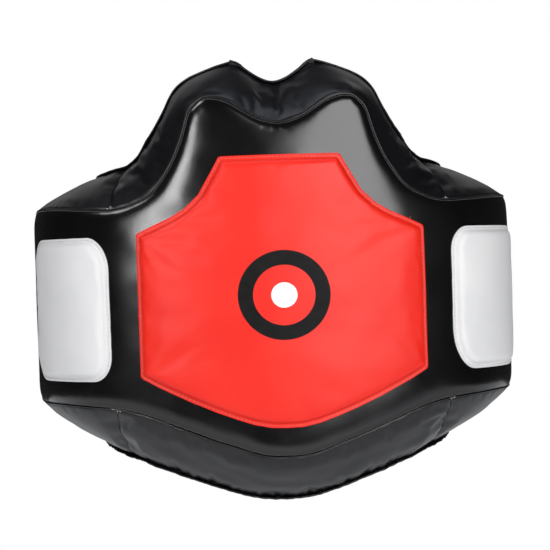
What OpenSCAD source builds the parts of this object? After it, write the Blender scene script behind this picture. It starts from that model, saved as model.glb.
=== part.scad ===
// Trainer belly pad: a thick wrap-round body protector for a boxing coach, with its back harness.
// +Z is up, the strike face looks along -Y, the wearer stands at +Y. The origin is on the lining,
// in the middle, where the pad rests on the belly.

/* [Pad] */
// Thickness of the padding, from lining to strike face
pad_t = 76; // [66:1:86]
// Radius of the lining across the belly
belly_r = 330; // [300:5:360]
// Angle that the belly part turns through, each side of the middle
belly_a = 24; // [22:1:26]
// Radius of the lining where it turns into a wing
turn_r = 75; // [70:1:85]
// Angle of that turn
turn_a = 52; // [48:1:54]
// Radius of the lining along a wing
wing_r = 400; // [350:10:450]
// Thickness of the leather skins
skin_t = 1.2; // [1:0.1:1.5]
// Thickness of the dense foam under the strike face
strike_foam_t = 22; // [15:1:26]
// Thickness of the soft foam on the wearer's side
body_foam_t = 16; // [10:1:20]

/* [Target panels] */
// Height that the panels' foam stands above the strike face
panel_rise = 8; // [5:0.5:11]
// Width of the flat sewn border round each panel
panel_border = 4.5; // [3:0.5:6]
// Width of each side panel, along the wing
side_panel_w = 152; // [140:1:175]
// Height of each side panel
side_panel_h = 151; // [130:1:160]
// Corner radius of the side panels
side_panel_r = 25; // [15:1:35]

/* [Harness] */
// Width of the webbing
strap_w = 38; // [30:1:38]
// Thickness of the webbing
strap_t = 1.6; // [1.2:0.1:1.8]
// Height of the waist strap's middle line
waist_z = -80; // [-95:1:-70]
// Distance of the waist buckle behind the lining
waist_y = 250; // [246:1:256]
// Distance of the shoulder buckles behind the lining
shoulder_y = 240; // [236:1:244]
// Height at which the shoulder straps cross
cross_z = 112; // [105:1:118]
// Slope of the shoulder straps below the crossing, in degrees below level
cross_slope = 31; // [28:1:33]
// Length of the loose strap tails, from their buckle bar
tail_l = 91; // [70:1:95]

/* [Buckles] */
// Width of a buckle
buckle_w = 50; // [48:1:56]
// Thickness of a buckle
buckle_t = 12; // [11:0.5:14]
// Length of a latch arm's travel line, from its root to its tip
arm_l = 21; // [19:0.5:22]

/* [Hidden] */
gap = 0.3;                      // clearance between neighbouring pieces
seam_inset = 1.9;               // how far skins stop inside the gusset's outer face
foam_inset = 2.7;               // how far the foam stops inside the gusset's outer face
face_r1 = belly_r + pad_t;      // the strike face's radii
face_r2 = turn_r + pad_t;
face_r3 = wing_r + pad_t;
girth_1 = face_r1 * belly_a * PI / 180;             // girth at the end of the belly arc
girth_2 = girth_1 + face_r2 * turn_a * PI / 180;    // girth at the end of the turn
belly_c = [0, belly_r];                             // the arcs' centres in plan
turn_c = belly_c + (belly_r - turn_r) * [sin(belly_a), -cos(belly_a)];
wing_c = turn_c + (turn_r - wing_r) * [sin(belly_a + turn_a), -cos(belly_a + turn_a)];

// The pad's edge, from the middle to the wing's end. Each row is one station: girth, top and bottom
// of the strike face, then girth, top and bottom of the lining. Girth is measured on the face.
STATIONS = [
    [0, 160, -185, 0, 206, -234.5],             // neck dip
    [20, 164.5, -184, 17, 210, -234],
    [36, 173.5, -180, 34, 219, -232.5],
    [51, 182.5, -174.8, 48, 228, -230],         // bib peak
    [65, 187, -170.2, 61, 227, -227.2],
    [77, 187, -166.1, 86.5, 220.5, -220.7],
    [86, 181, -162.6, 112, 212, -213.8],
    [93.5, 171.5, -159.7, 130, 200, -209.2],        // armhole
    [102.5, 144, -156.3, 146, 177, -204.4],
    [115, 118, -151.8, 164, 154.5, -199.7],
    [134.5, 93, -144.5, 184.5, 136, -195.1],
    [158, 81, -137, 204.5, 127, -191.3],
    [181, 76.5, -132.7, 224, 122.5, -189],      // where the gusset pieces join
    [215, 77.5, -130.5, 256, 120.5, -185.5],    // wing
    [262, 80, -129, 300, 118.5, -181.5],
    [312, 81, -129, 342, 117.5, -179],
    [352, 80, -128.5, 376, 116.5, -177],
    [368, 76, -125, 389, 113.5, -173],
    [377, 68, -117, 396, 106, -165],
    [380, 58, -107, 399, 95, -155]              // wing's end
];
JOIN_STATION = 12;
SUB = 3;                        // columns drawn per station
// The red panel's edge: girth, top, bottom
TARGET_EDGE = [
    [0, 126.5, -155], [17, 126.5, -154.3], [34, 126.5, -150.7], [52, 126.5, -144.5], [60.8, 126.2, -141.4],
    [62.4, 125.2, -140.6], [66, 118.5, -139.2], [72, 108.3, -137], [84, 87.7, -131.8], [99, 74, -125.5],
    [113.5, 65.7, -118.7], [132, 58, -110], [147, 51.5, -102], [150.7, 49.8, -99.7], [151.5, 48.2, -97.5]
];
TARGET_END = 151.5;
side_panel_g = 184;             // girth at the side panels' inner edge
side_panel_top = 47.5;          // height of the side panels' top edge
panel_wall = 5;                 // run of the panel's sloping side
panel_step = 6;                 // column spacing on the panels

bar_r = 2.2;                    // buckle bar that a strap folds round
fold_r = bar_r + 0.2;           // inside radius of a strap fold
run_off = fold_r + strap_t / 2; // distance of a strap's run from the buckle's middle plane
male_bar_x = 14;
female_bar_x = -43.5;
latch_root = [-3, 13];          // latch arm's flexing root, along and across the buckle
cross_step = strap_t + 1;       // distance between the two straps at the crossing
cross_run = 150;                // from the crossing to a shoulder buckle's mating plane
slope_v = [cos(cross_slope), 0, -sin(cross_slope)];
slope_w = [sin(cross_slope), 0, cos(cross_slope)];
keeper_x = 72;                  // keeper's near side, from the buckle's mating plane
keeper_l = 18;
waist_x = -20;                  // waist buckle's mating plane
wing_strap_z = -8;              // height of the shoulder webbing's sewn end on a wing

SIDES = ["left", "right"];

// ---- Geometry of the wrap ----

// Angle turned at a girth
function turn_at(g) =
    g <= girth_1 ? g / face_r1 * 180 / PI
    : g <= girth_2 ? belly_a + (g - girth_1) / face_r2 * 180 / PI
    : belly_a + turn_a + (g - girth_2) / face_r3 * 180 / PI;

// Plan position at a girth, d in front of the lining
function plan(g, d) =
    let (a = turn_at(g), dir = [sin(a), -cos(a)])
    g <= girth_1 ? belly_c + (belly_r + d) * dir
    : g <= girth_2 ? turn_c + (turn_r + d) * dir
    : wing_c + (wing_r + d) * dir;

// Point in space; a negative girth is the wearer's right-hand side
function place(g, d, z) =
    let (p = plan(abs(g), d)) [g < 0 ? -p.x : p.x, p.y, z];

// Catmull-Rom curve through a list of vectors, n pieces to a span
function spline_at(a, b, c, d, t) =
    0.5 * (2 * b + (c - a) * t + (2 * a - 5 * b + 4 * c - d) * t * t
           + (3 * b - a - 3 * c + d) * t * t * t);
function smooth(p, n, before, after) =
    let (q = concat([before], p, [after]))
    concat(
        [for (i = [0:len(p) - 2]) for (j = [0:n - 1])
            spline_at(q[i], q[i + 1], q[i + 2], q[i + 3], j / n)],
        [p[len(p) - 1]]
    );
function path_through(p, n) = smooth(p, n, 2 * p[0] - p[1], 2 * p[len(p) - 1] - p[len(p) - 2]);

function mirrored(row) = [-row[0], row[1], row[2], -row[3], row[4], row[5]];
LAST = len(STATIONS) - 1;
HALF = smooth(STATIONS, SUB, mirrored(STATIONS[1]), 2 * STATIONS[LAST] - STATIONS[LAST - 1]);
N = len(HALF) - 1;
// Every column of the pad, from one wing's end to the other
COLUMNS = concat([for (k = [N:-1:1]) mirrored(HALF[k])], HALF);
// The pad's edge as one closed loop: [face girth, face z, lining girth, lining z]
EDGE = concat(
    [for (c = COLUMNS) [c[0], c[1], c[3], c[4]]],
    [for (k = [2 * N:-1:0]) let (c = COLUMNS[k]) [c[0], c[2], c[3], c[5]]]
);
TOP_MIDDLE = N;
JOIN = JOIN_STATION * SUB;
LOOP = len(EDGE);

// ---- Generic solids ----

// Closed solid through a row of matching sections, each listed clockwise along the way. The corners of an
// open tube's section go along one side and back along the other, so its ends are strips of triangles.
module tube(sections, ring = false) {
    n = len(sections);
    m = len(sections[0]);
    spans = ring ? n : n - 1;
    sides = [for (i = [0:spans - 1]) for (j = [0:m - 1])
        let (a = i * m + j, b = ((i + 1) % n) * m + j,
             c = ((i + 1) % n) * m + (j + 1) % m, d = i * m + (j + 1) % m)
        each [[a, b, c], [a, c, d]]];
    o = (n - 1) * m;
    ends = ring ? [] : [for (a = [0:m / 2 - 2])
        let (b = a + 1, c = m - 2 - a, d = m - 1 - a)
        each [[a, b, c], [a, c, d], [o + a, o + c, o + b], [o + a, o + d, o + c]]];
    polyhedron([for (s = sections) each s], concat(sides, ends), convexity = 8);
}

// Column k of the pad at depth d, its edges moved in by e: [girth, top, bottom]
function column(k, d, e) =
    let (t = d / pad_t, c = COLUMNS[k],
         a = COLUMNS[max(k - 1, 0)], b = COLUMNS[min(k + 1, 2 * N)],
         mid = [for (q = [a, c, b]) [for (j = [0:2]) q[j + 3] + (q[j] - q[j + 3]) * t]],
         run = mid[2][0] - mid[0][0],
         reach = abs(STATIONS[LAST][3] + (STATIONS[LAST][0] - STATIONS[LAST][3]) * t),
         top_m = (mid[2][1] - mid[0][1]) / run,
         bottom_m = (mid[2][2] - mid[0][2]) / run)
    [mid[1][0] * (reach - e) / reach,
     mid[1][1] - e * sqrt(1 + top_m * top_m),
     mid[1][2] + e * sqrt(1 + bottom_m * bottom_m)];

// A layer of the pad between two depths
module layer(back, front, e) {
    tube([for (k = [0:2 * N])
        let (f = column(k, front, e), b = column(k, back, e))
        [place(f[0], front, f[1]), place(f[0], front, f[2]),
         place(b[0], back, b[2]), place(b[0], back, b[1])]]);
}

// Point on the pad's edge, a fraction t of the way from lining to face, moved out by e
function unit(v) = v / norm(v);
function edge_normal(i, o) =
    let (v = EDGE[(i + 1) % LOOP] - EDGE[(i + LOOP - 1) % LOOP]) unit([-v[o + 1], v[o]]);
function edge_point(i, t, e) =
    let (p = EDGE[i % LOOP], n = unit(edge_normal(i % LOOP, 2) * (1 - t) + edge_normal(i % LOOP, 0) * t))
    place(p[2] + (p[0] - p[2]) * t + e * n.x, t * pad_t, p[3] + (p[1] - p[3]) * t + e * n.y);

// A strip that follows the pad's edge; each section corner is [t, e]
module strip(first, last, section, ring = false) {
    tube([for (i = [first:last]) [for (s = section) edge_point(i, s[0], s[1])]], ring);
}
module gusset(first, last) {
    steps = [1, 0.67, 0.33, 0];
    strip(first, last, concat([for (t = [0, 0.33, 0.67, 1]) [t, 0]], [for (t = steps) [t, -skin_t]]));
}

// Rectangle of sheet lying on the wrap, between two girths, two heights and two depths
module wrapped_sheet(g0, g1, z0, z1, back, front) {
    n = 6;
    tube([for (i = [0:n])
        let (g = g0 + (g1 - g0) * i / n)
        [place(g, front, z1), place(g, front, z0), place(g, back, z0), place(g, back, z1)]]);
}

// Hollow skin of a panel: a flat border and a raised middle. edge(g) gives [top, bottom].
function panel_columns(g0, g1, inset) =
    let (a = g0 + inset, b = g1 - inset, n = ceil((b - a) / panel_step))
    [for (i = [0:n]) a + (b - a) * i / n];
module panel_cover(g0, g1, edge) {
    rim = panel_border + panel_wall;
    gs = concat([g0, g0 + panel_border], panel_columns(g0, g1, rim), [g1 - panel_border, g1]);
    base = pad_t + gap;
    n = len(gs);
    rows = [for (g = gs) let (q = edge(g))
        [q[0], q[0] - panel_border, q[0] - rim, q[1] + rim, q[1] + panel_border, q[1]]];
    function raised(i, j) = i > 1 && i < n - 2 && j > 1 && j < 4;
    function level(i, j) = base + (raised(i, j) ? panel_rise : 0);
    outer = [for (i = [0:n - 1]) for (j = [0:5]) place(gs[i], level(i, j) + skin_t, rows[i][j])];
    inner = [for (i = [0:n - 1]) for (j = [0:5]) place(gs[i], level(i, j), rows[i][j])];
    o = len(outer);
    skins = [for (i = [0:n - 2]) for (j = [0:4])
        let (a = i * 6 + j, b = a + 6, c = b + 1, d = a + 1)
        each [[a, b, c], [a, c, d], [o + a, o + c, o + b], [o + a, o + d, o + c]]];
    long_rims = [for (i = [0:n - 2]) let (a = i * 6, b = a + 6, c = a + 5, d = b + 5)
        each [[a, o + a, o + b], [a, o + b, b], [c, d, o + d], [c, o + d, o + c]]];
    end_rims = [for (j = [0:4]) let (a = j, b = (n - 1) * 6 + j)
        each [[a, a + 1, o + a + 1], [a, o + a + 1, o + a],
              [b, o + b, o + b + 1], [b, o + b + 1, b + 1]]];
    polyhedron(concat(outer, inner), concat(skins, long_rims, end_rims), convexity = 8);
}
module panel_foam(g0, g1, edge) {
    inset = panel_border + panel_wall + 1.5;
    back = pad_t + gap;
    front = back + panel_rise - gap;
    tube([for (g = panel_columns(g0, g1, inset))
        let (q = edge(g), top = q[0] - inset, bottom = q[1] + inset)
        [place(g, front, top), place(g, front, bottom), place(g, back, bottom), place(g, back, top)]]);
}
target_edge = function(g) [
    lookup(abs(g), [for (r = TARGET_EDGE) [r[0], r[1]]]),
    lookup(abs(g), [for (r = TARGET_EDGE) [r[0], r[2]]])
];
side_edge = function(g)
    let (half = side_panel_w / 2,
         from_edge = half - abs(abs(g) - side_panel_g - half),
         c = max(side_panel_r - from_edge, 0),
         drop = side_panel_r - sqrt(max(side_panel_r * side_panel_r - c * c, 0)))
    [side_panel_top - drop, side_panel_top - side_panel_h + drop];

// A flat strap along a path of [x, y, z, wx, wy, wz], where w is the direction of its width
function head(v) = [v[0], v[1], v[2]];
function tail(v) = [v[3], v[4], v[5]];
module ribbon(path) {
    n = len(path);
    tube([for (i = [0:n - 1])
        let (p = head(path[i]),
             along = unit(head(path[min(i + 1, n - 1)]) - head(path[max(i - 1, 0)])),
             across = unit(tail(path[i])),
             up = unit(cross(across, along)),
             w = cross(along, up) * strap_w / 2,
             h = up * strap_t / 2)
        [p + w + h, p + w - h, p - w - h, p - w + h]]);
}
function join(p, w) = [p.x, p.y, p.z, w.x, w.y, w.z];

// ---- Pad ----

module front_cover() { color("#141416") layer(pad_t - skin_t, pad_t, seam_inset); }
module lining() { color("#26262a") layer(0, skin_t, seam_inset); }
module strike_foam() {
    front = pad_t - skin_t - gap;
    color("#3c3c40") layer(front - strike_foam_t, front, foam_inset);
}
module core_foam() {
    front = pad_t - skin_t - strike_foam_t - 2 * gap;
    color("#8fa3b8") layer(skin_t + body_foam_t + 2 * gap, front, foam_inset);
}
module body_foam() { color("#e8d9a0") layer(skin_t + gap, skin_t + gap + body_foam_t, foam_inset); }
module gusset_top() { color("#1c1c20") gusset(TOP_MIDDLE - JOIN, TOP_MIDDLE + JOIN); }
module gusset_right() {
    color("#1a1a1e") gusset(TOP_MIDDLE + JOIN, TOP_MIDDLE + 2 * N + 1 - JOIN);
}
module gusset_left() {
    color("#1a1a1e") gusset(TOP_MIDDLE + 2 * N + 1 + JOIN, LOOP + TOP_MIDDLE - JOIN);
}
module gusset_bottom() {
    color("#202028") gusset(TOP_MIDDLE + 2 * N + 1 - JOIN, TOP_MIDDLE + 2 * N + 1 + JOIN);
}
module face_piping() {
    color("#101012") strip(0, LOOP - 1, [[1.02, 2.4], [1.02, 0.4], [0.98, 0.4], [0.98, 2.4]], true);
}
module edge_binding() {
    color("#101014") strip(0, LOOP - 1, [[0.075, 2], [0.075, 0.5], [-0.01, 0.5], [-0.01, 2]], true);
}

// ---- Target panels ----

module target_cover() { color("#e8402a") panel_cover(-TARGET_END, TARGET_END, target_edge); }
module target_foam() { color("#f0e6c8") panel_foam(-TARGET_END, TARGET_END, target_edge); }
module side_panel_cover() {
    color("#e6e4e2") panel_cover(side_panel_g, side_panel_g + side_panel_w, side_edge);
}
module side_panel_foam() {
    color("#f0e6c8") panel_foam(side_panel_g, side_panel_g + side_panel_w, side_edge);
}
module left_side_panel_cover() { mirror([1, 0, 0]) side_panel_cover(); }
module left_side_panel_foam() { mirror([1, 0, 0]) side_panel_foam(); }
module right_side_panel_cover() { side_panel_cover(); }
module right_side_panel_foam() { side_panel_foam(); }

// ---- Webbing ----

bib_g = 59;                     // girth of a shoulder strap's sewn end
bib_a = turn_at(bib_g);
sewn_d = -gap - strap_t / 2;    // depth of webbing sewn on the lining
strap_sag = 1.1;                // a flat strap stands this far off the curved lining
edge_lift = 0.9;                // and this far at the wing's end, to clear the binding
bib_patch_back = -2 * gap - strap_sag - strap_t - skin_t;
wing_patch_back = bib_patch_back + 0.3;

module bib_patch() {
    back = bib_patch_back;
    color("#1a1a1e") wrapped_sheet(bib_g - 27, bib_g + 27, 96, 144, back, back + skin_t);
}
module wing_patch() {
    back = wing_patch_back;
    color("#1a1a1e") wrapped_sheet(350, 386, waist_z - 26, wing_strap_z + 26, back, back + skin_t);
}
module left_bib_patch() { mirror([1, 0, 0]) bib_patch(); }
module right_bib_patch() { bib_patch(); }
module left_wing_patch() { mirror([1, 0, 0]) wing_patch(); }
module right_wing_patch() { wing_patch(); }

// Shoulder strap that starts on the wearer's right-hand side of the bib (negative X) and crosses over.
// lift moves its lower part back, so that the two straps pass at the crossing.
module shoulder_strap(lift) {
    side = [cos(bib_a), -sin(bib_a), 0];
    across = [1, 0, 0];
    run_y = shoulder_y - run_off + lift;
    crossing = [0, run_y, cross_z];
    end_run = cross_run - male_bar_x - gap;
    sewn = [for (z = [102, 126, 146]) join(place(-bib_g, sewn_d - strap_sag, z), side)];
    over = [
        join([-48, 15, 171], side),
        join([-48, 40, 187], across),
        join([-50, 90, 192], across),
        join([-56, 140, 188], across),
        join([-63, 188, 176], across),
        join([-64, run_y - 16, 160], unit(across * 0.6 + slope_w * 0.4))
    ];
    down = [for (s = [-62, -42, 0, 50, 100, end_run]) join(crossing + s * slope_v, slope_w)];
    color("#17171a") ribbon(path_through(concat(sewn, over, down), 3));
}
module left_shoulder_strap() { shoulder_strap(0); }
module right_shoulder_strap() { mirror([1, 0, 0]) shoulder_strap(cross_step); }

// Two squares of leather, one on each side of the crossing
module cross_patch() {
    side = 58;
    inner_y = shoulder_y - run_off - strap_t / 2 - gap - skin_t;
    outer_y = shoulder_y - run_off + cross_step + strap_t / 2 + gap;
    color("#1a1a1e") for (y = [inner_y, outer_y])
        translate([0, y, cross_z]) rotate([0, 45, 0]) translate([-side / 2, 0, -side / 2])
            cube([side, skin_t, side]);
}

// Webbing folded round a buckle's bar, in the buckle's own frame; way is +1 or -1 along X.
// The returning leg runs level for a tail, or comes down on the main run where it is sewn.
module fold(bar_x, way, leg, sewn) {
    near = fold_r;
    far = fold_r + strap_t;
    landing = -fold_r + gap;
    level_leg = [[0, near], [leg, near], [leg, far], [0, far]];
    ramp = 0.6 * leg;
    sewn_leg = [[0, near], [bar_r, near], [ramp, landing], [leg, landing], [leg, landing + strap_t],
                [ramp, landing + strap_t], [bar_r + 1, far], [0, far]];
    translate([bar_x, 0, 0]) scale([way, 1, 1]) rotate([90, 0, 0])
        linear_extrude(strap_w, center = true) {
            difference() {
                circle(far, $fn = 48);
                circle(near, $fn = 48);
                translate([0, -far - 1]) square(2 * far + 2);
            }
            polygon(sewn ? sewn_leg : level_leg);
        }
}

// The first points of a strap that starts inside a wing, at height z
function wing_sewn(z) = [
    for (q = [[358, 0], [378, 0.1], [398, edge_lift]]) join(place(q[0], sewn_d - q[1], z), [0, 0, 1])
];

// The short webbing between a wing and a shoulder buckle's female half
module wing_strap(lift) {
    up = [0, 0, 1];
    run_y = shoulder_y - run_off + lift;
    crossing = [0, run_y, cross_z];
    sewn = wing_sewn(wing_strap_z);
    free = [
        join([185.4, 182, wing_strap_z], up),
        join([185, 205, wing_strap_z + 1], unit(up + 0.1 * slope_w)),
        join([180, 224, wing_strap_z + 4], unit(up + slope_w))
    ];
    run = [for (s = [cross_run - female_bar_x + 7, cross_run - female_bar_x - 0.2])
        join(crossing + s * slope_v, slope_w)];
    color("#17171a") {
        ribbon(path_through(concat(sewn, free, run), 3));
        shoulder_buckle_place(lift) fold(female_bar_x, -1, 16, true);
    }
}
module right_wing_strap() { wing_strap(0); }
module left_wing_strap() { mirror([1, 0, 0]) wing_strap(cross_step); }

// Waist strap on the +X side, from the wing to a point x on the level run behind the back
function waist_path(x) =
    let (up = [0, 0, 1], run_y = waist_y - run_off)
    concat(
        wing_sewn(waist_z),
        [for (p = [[185.4, 182], [184.5, 205], [174, 230], [152, 243],
                   [125, run_y], [90, run_y], [x, run_y]])
            join([p.x, p.y, waist_z], up)]
    );
module waist_strap_right() {
    color("#17171a") ribbon(path_through(waist_path(waist_x + male_bar_x + gap), 3));
}
module waist_strap_left() {
    color("#17171a") {
        mirror([1, 0, 0]) ribbon(path_through(waist_path(-waist_x - female_bar_x - 0.2), 3));
        waist_buckle_place() fold(female_bar_x, -1, 44, true);
    }
}

// ---- Buckles: X along the strap, Y across it, Z away from the wearer, mating plane at X = 0 ----

module waist_buckle_place() { translate([waist_x, waist_y, waist_z]) rotate([-90, 0, 0]) children(); }
// The buckle behind the +X wing
module shoulder_buckle_place(lift) {
    translate([0, shoulder_y + lift, cross_z] + cross_run * slope_v)
        rotate([0, 180 + cross_slope, 0]) rotate([-90, 0, 0]) children();
}
module left_buckle_place() { mirror([1, 0, 0]) shoulder_buckle_place(cross_step) children(); }
module right_buckle_place() { shoulder_buckle_place(0) children(); }

// Plate with round corners, from x0 to x1
module plate(x0, x1, w, t, r) {
    translate([x0, -w / 2 + r, -t / 2]) cube([x1 - x0, w - 2 * r, t]);
    translate([x0 + r, -w / 2, -t / 2]) cube([x1 - x0 - 2 * r, w, t]);
    for (x = [x0 + r, x1 - r], y = [r - w / 2, w / 2 - r])
        translate([x, y, -t / 2]) cylinder(h = t, r = r, $fn = 48);
}
module bar(x, r) {
    translate([x, 0, 0]) rotate([90, 0, 0]) cylinder(h = strap_w + 4, r = r, center = true, $fn = 48);
}

socket_w = 39;
socket_t = 7.2;
slot_w = strap_w + 2;
module female_half() {
    end = 47;
    color("#0e0e10") {
        difference() {
            plate(-end, 0, buckle_w, buckle_t, 4);
            translate([-27, -socket_w / 2, -socket_t / 2]) cube([28, socket_w, socket_t]);
            translate([-25, -buckle_w / 2 - 1, -socket_t / 2]) cube([14, buckle_w + 2, socket_t]);
            translate([-end - 1, -slot_w / 2, -buckle_t]) cube([end - 33, slot_w, 2 * buckle_t]);
        }
        bar(female_bar_x, bar_r);
    }
}
module male_half() {
    rail_w = (buckle_w - slot_w) / 2;
    color("#0e0e10") {
        difference() {
            plate(0.4, 31, buckle_w, buckle_t - 1, 4);
            translate([9, -slot_w / 2, -buckle_t]) cube([30, slot_w, 2 * buckle_t]);
        }
        bar(male_bar_x, bar_r);
        bar(27, bar_r - 0.3);
        translate([-25, -4.5, -2.6]) cube([25.9, 9, 5.2]);
    }
}
// Latch arm on the +Y side: round root, slim beam, and the thumb button that stands in the window
module latch_arm() {
    half_t = 3;
    tip = latch_root.x - arm_l;
    color("#0e0e10") translate([0, 0, -half_t]) {
        translate([latch_root.x, latch_root.y, 0]) cylinder(h = 2 * half_t, r = 2, $fn = 48);
        linear_extrude(2 * half_t) polygon([
            [latch_root.x, 11.5], [tip, 11.2], [tip, 13.5], [tip + 2, 22], [tip + 3.5, 23.4],
            [tip + 12, 20.2], [tip + 12, 14.5], [latch_root.x, 14.5]
        ]);
    }
}
module strap_tail() { color("#17171a") fold(male_bar_x, 1, tail_l, false); }
module keeper() {
    hole_t = 2 * (fold_r + strap_t) + 2 * gap;
    wall = 1.2;
    color("#101012") difference() {
        translate([keeper_x, -strap_w / 2 - gap - wall, -hole_t / 2 - wall])
            cube([keeper_l, strap_w + 2 * gap + 2 * wall, hole_t + 2 * wall]);
        translate([keeper_x - 1, -strap_w / 2 - gap, -hole_t / 2])
            cube([keeper_l + 2, strap_w + 2 * gap, hole_t]);
    }
}

module waist_buckle_female() { waist_buckle_place() female_half(); }
module waist_buckle_male() { waist_buckle_place() male_half(); }
module waist_latch_lower() { waist_buckle_place() latch_arm(); }
module waist_latch_upper() { waist_buckle_place() mirror([0, 1, 0]) latch_arm(); }
module waist_strap_tail() { waist_buckle_place() strap_tail(); }
module waist_keeper() { waist_buckle_place() keeper(); }
module left_buckle_female() { left_buckle_place() female_half(); }
module left_buckle_male() { left_buckle_place() male_half(); }
module left_latch_upper() { left_buckle_place() latch_arm(); }
module left_latch_lower() { left_buckle_place() mirror([0, 1, 0]) latch_arm(); }
module left_strap_tail() { left_buckle_place() strap_tail(); }
module left_keeper() { left_buckle_place() keeper(); }
module right_buckle_female() { right_buckle_place() female_half(); }
module right_buckle_male() { right_buckle_place() male_half(); }
module right_latch_upper() { right_buckle_place() latch_arm(); }
module right_latch_lower() { right_buckle_place() mirror([0, 1, 0]) latch_arm(); }
module right_strap_tail() { right_buckle_place() strap_tail(); }
module right_keeper() { right_buckle_place() keeper(); }

front_cover();
gusset_top();
gusset_left();
gusset_right();
gusset_bottom();
lining();
face_piping();
edge_binding();
strike_foam();
core_foam();
body_foam();
target_cover();
target_foam();
left_side_panel_cover();
left_side_panel_foam();
right_side_panel_cover();
right_side_panel_foam();
left_bib_patch();
right_bib_patch();
left_wing_patch();
right_wing_patch();
cross_patch();
left_shoulder_strap();
right_shoulder_strap();
left_wing_strap();
right_wing_strap();
waist_strap_left();
waist_strap_right();
waist_buckle_female();
waist_buckle_male();
waist_latch_upper();
waist_latch_lower();
waist_strap_tail();
waist_keeper();
left_buckle_female();
left_buckle_male();
left_latch_upper();
left_latch_lower();
left_strap_tail();
left_keeper();
right_buckle_female();
right_buckle_male();
right_latch_upper();
right_latch_lower();
right_strap_tail();
right_keeper();
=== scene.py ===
"""Looks of the trainer belly pad: padded leather shell, panels, stitching, webbing and buckles.

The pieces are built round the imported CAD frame. Sizes below are in millimetres, in the frame's axes;
mesh points are turned into metres when a piece is made. Girth is distance round the pad, measured on its
strike face from the middle line; depth is distance in front of the lining.
"""
import math

import bpy
import numpy as np
from mathutils import Matrix, Vector, geometry, kdtree, noise
from mathutils.bvhtree import BVHTree


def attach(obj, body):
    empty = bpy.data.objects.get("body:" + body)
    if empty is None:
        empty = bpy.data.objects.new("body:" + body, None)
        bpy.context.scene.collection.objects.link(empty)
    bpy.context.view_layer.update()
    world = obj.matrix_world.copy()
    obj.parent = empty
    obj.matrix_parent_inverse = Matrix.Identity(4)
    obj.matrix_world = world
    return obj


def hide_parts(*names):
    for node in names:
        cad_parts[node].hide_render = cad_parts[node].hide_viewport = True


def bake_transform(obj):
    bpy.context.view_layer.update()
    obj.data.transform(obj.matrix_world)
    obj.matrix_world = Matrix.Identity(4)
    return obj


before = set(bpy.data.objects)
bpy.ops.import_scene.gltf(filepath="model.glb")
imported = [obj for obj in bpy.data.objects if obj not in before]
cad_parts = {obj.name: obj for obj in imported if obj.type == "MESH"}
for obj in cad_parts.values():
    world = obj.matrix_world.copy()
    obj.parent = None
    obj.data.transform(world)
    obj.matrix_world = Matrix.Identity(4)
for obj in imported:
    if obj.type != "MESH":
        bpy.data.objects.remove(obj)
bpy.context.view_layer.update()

MM = 0.001
CLOTH_FRAMES = 20
GRAIN = 1.1

# ---- Design sizes, as in the CAD ----

PAD_T = 76
BELLY_R, TURN_R, WING_R = 330, 75, 400
BELLY_A, TURN_A = math.radians(24), math.radians(52)
STATIONS = np.array([
    # face girth, face top, face bottom, lining girth, lining top, lining bottom
    [0, 160, -185, 0, 206, -234.5],
    [20, 164.5, -184, 17, 210, -234],
    [36, 173.5, -180, 34, 219, -232.5],
    [51, 182.5, -174.8, 48, 228, -230],
    [65, 187, -170.2, 61, 227, -227.2],
    [77, 187, -166.1, 86.5, 220.5, -220.7],
    [86, 181, -162.6, 112, 212, -213.8],
    [93.5, 171.5, -159.7, 130, 200, -209.2],
    [102.5, 144, -156.3, 146, 177, -204.4],
    [115, 118, -151.8, 164, 154.5, -199.7],
    [134.5, 93, -144.5, 184.5, 136, -195.1],
    [158, 81, -137, 204.5, 127, -191.3],
    [181, 76.5, -132.7, 224, 122.5, -189],
    [215, 77.5, -130.5, 256, 120.5, -185.5],
    [262, 80, -129, 300, 118.5, -181.5],
    [312, 81, -129, 342, 117.5, -179],
    [352, 80, -128.5, 376, 116.5, -177],
    [368, 76, -125, 389, 113.5, -173],
    [377, 68, -117, 396, 106, -165],
    [380, 58, -107, 399, 95, -155],
], float)
JOIN_STATION = 12
TARGET_TOP = [
    (0, 126.5), (60.8, 126.2), (62.4, 125.2), (66, 118.5), (72, 108.3), (84, 87.7), (99, 74),
    (113.5, 65.7), (132, 58), (147, 51.5), (150.7, 49.8), (151.5, 48.2),
]
TARGET_BOTTOM = [
    (151.5, -97.5), (150.7, -99.7), (147, -102), (132, -110), (113.5, -118.7), (99, -125.5), (84, -131.8),
    (72, -137), (52, -144.5), (34, -150.7), (17, -154.3), (0, -155),
]
SIDE_G, SIDE_W, SIDE_TOP, SIDE_H = 184, 152, 47.5, 151
PANEL_RISE, PANEL_BORDER, SKIN_T = 8, 4.5, 1.2

STRAP_W, STRAP_T = 38, 1.6
WAIST_X, WAIST_Y, WAIST_Z = -20, 250, -80
SHOULDER_Y, CROSS_Z, CROSS_RUN = 240, 112, 150
CROSS_SLOPE = math.radians(31)
CROSS_STEP = STRAP_T + 1
WING_STRAP_Z = -8
BIB_G = 59
TAIL_L = 91
MALE_BAR_X, FEMALE_BAR_X = 14, -43.5
RUN_OFF = 2.4 + STRAP_T / 2
SEWN_D = -0.3 - STRAP_T / 2
STRAP_SAG = 1.1
SLOPE_V = np.array([math.cos(CROSS_SLOPE), 0, -math.sin(CROSS_SLOPE)])
SLOPE_W = np.array([math.sin(CROSS_SLOPE), 0, math.cos(CROSS_SLOPE)])
UP = np.array([0.0, 0.0, 1.0])

# ---- Geometry of the wrap: three arcs to a side, for the belly, the turn and the wing ----

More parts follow.
